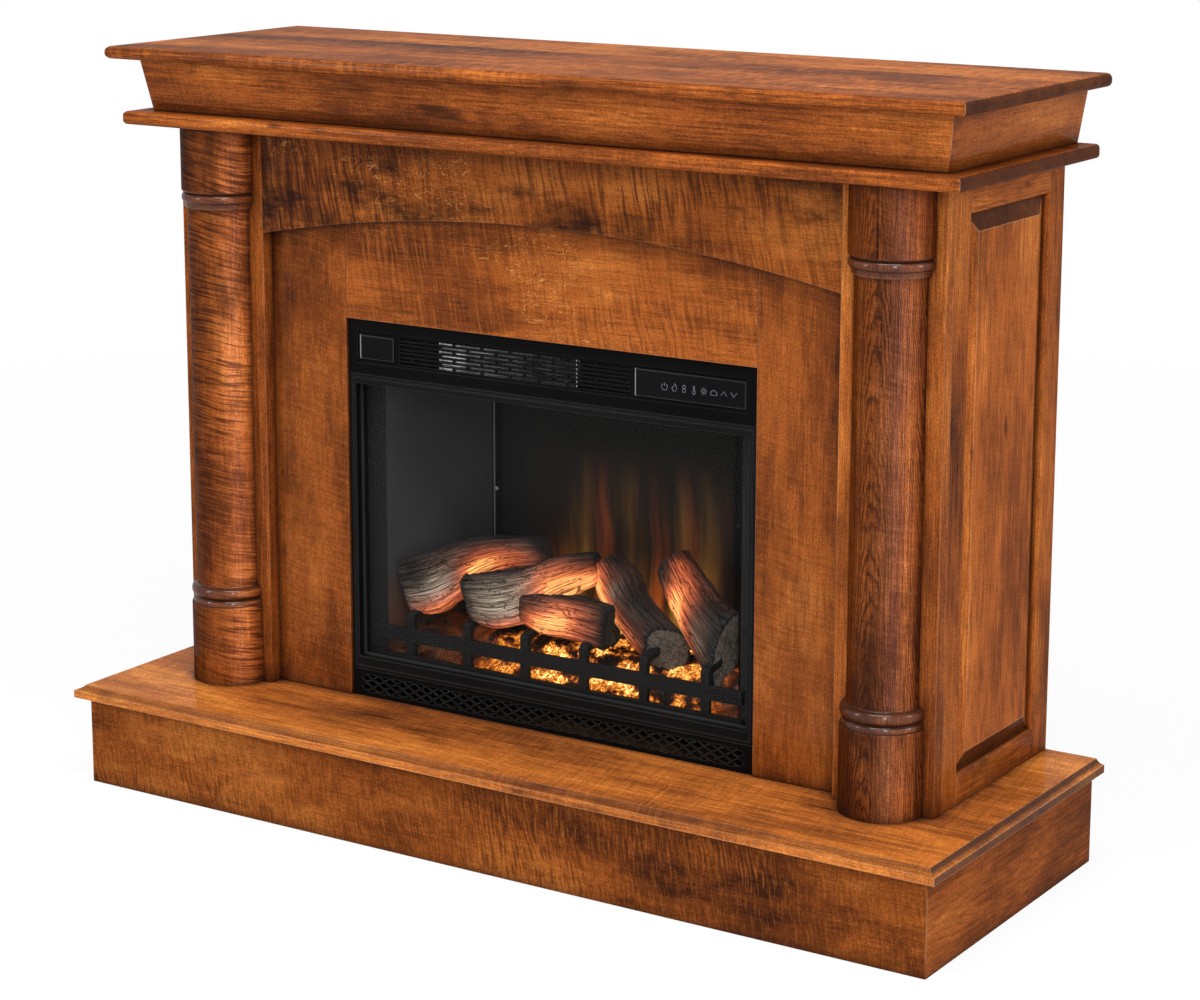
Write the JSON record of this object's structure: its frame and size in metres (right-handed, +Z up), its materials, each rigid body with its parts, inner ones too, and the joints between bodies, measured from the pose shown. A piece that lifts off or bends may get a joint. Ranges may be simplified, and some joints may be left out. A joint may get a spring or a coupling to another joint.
{
  "type": "electric fireplace with mantel",
  "caption": "Free-standing electric fireplace: a stained wood mantel with turned half columns on a hearth plinth, holding a glass-fronted insert with a flame effect and fan heater.",
  "frame": {"origin": "on the floor under the middle of the hearth", "axes": "+X to the right seen from the front, +Y to the back, +Z up"},
  "size_m": [1.398, 0.51, 1.074],
  "materials": {
    "stained_wood": "semi-gloss lacquer over reddish-brown stain",
    "column_wood": "semi-gloss lacquer over dark reddish-brown stain",
    "frame_wood": "planed, unfinished",
    "casing_steel": "matt black powder coat",
    "plated_steel": "zinc plated",
    "gland_plastic": "moulded black",
    "bezel_black": "satin black",
    "control_gloss": "gloss black",
    "circuit_board": "solder-masked laminate",
    "clear_glass": "clear tempered",
    "liner_grey": "matt dark grey",
    "screen_smoke": "smoked, back-lit",
    "grate_iron": "matt black",
    "log_resin": "painted bark and ash",
    "ember_resin": "translucent amber, lit from below",
    "rotor_foil": "bright",
    "motor_steel": "laminated core",
    "element_metal": "finned"
  },
  "bodies": {
    "mantel": {"arched_rail": "stained_wood", "back_stretcher": "frame_wood", "blower_motor": "motor_steel", "casing_back_panel": "casing_steel", "control_board": "circuit_board", "control_panel": "control_gloss", "cord_gland": "gland_plastic", "cornice_shelf": "stained_wood", "crown_front": "stained_wood", "crown_left": "stained_wood", "crown_right": "stained_wood", "ember_bed": "ember_resin", "ember_light_board": "circuit_board", "firebox_ceiling": "liner_grey", "firebox_floor": "liner_grey", "firebox_left_wall": "liner_grey", "firebox_right_wall": "liner_grey", "flame_light_board": "circuit_board", "flame_screen": "screen_smoke", "glass_frame": "bezel_black", "glass_pane": "clear_glass", "grate": "grate_iron", "header_field": "stained_wood", "hearth_back_rail": "frame_wood", "hearth_front_skirt": "stained_wood", "hearth_glue_blocks": "frame_wood", "hearth_left_skirt": "stained_wood", "hearth_right_skirt": "stained_wood", "hearth_top": "stained_wood", "heater_duct": "plated_steel", "heater_element": "element_metal", "insert_casing": "casing_steel", "left_column": "column_wood", "left_face_stile": "stained_wood", "left_leg_field": "stained_wood", "left_side_front_stile": "stained_wood", "left_side_panel": "stained_wood", "left_side_rails": "stained_wood", "left_side_rear_stile": "stained_wood", "log_centre": "log_resin", "log_front_left": "log_resin", "log_rear_left": "log_resin", "log_right": "log_resin", "log_small_front": "log_resin", "lower_grille": "bezel_black", "mounting_brackets": "plated_steel", "receiver_window": "control_gloss", "right_column": "column_wood", "right_face_stile": "stained_wood", "right_leg_field": "stained_wood", "right_side_front_stile": "stained_wood", "right_side_panel": "stained_wood", "right_side_rails": "stained_wood", "right_side_rear_stile": "stained_wood", "rotor_brackets": "plated_steel", "rotor_motor": "motor_steel", "top_shelf": "stained_wood", "upper_bezel": "bezel_black"},
    "flame_rotor": {"flame_rotor": "rotor_foil"},
    "blower_wheel": {"blower_wheel": "rotor_foil"}
  },
  "joints": [
    {"name": "flame_rotor_spin", "type": "hinge", "parent": "mantel", "child": "flame_rotor", "pos_m": [0, 0.1435, 0.236], "axis": [1, 0, 0], "continuous": true},
    {"name": "blower_wheel_spin", "type": "hinge", "parent": "mantel", "child": "blower_wheel", "pos_m": [0, 0.045, 0.6572], "axis": [1, 0, 0], "continuous": true}
  ]
}
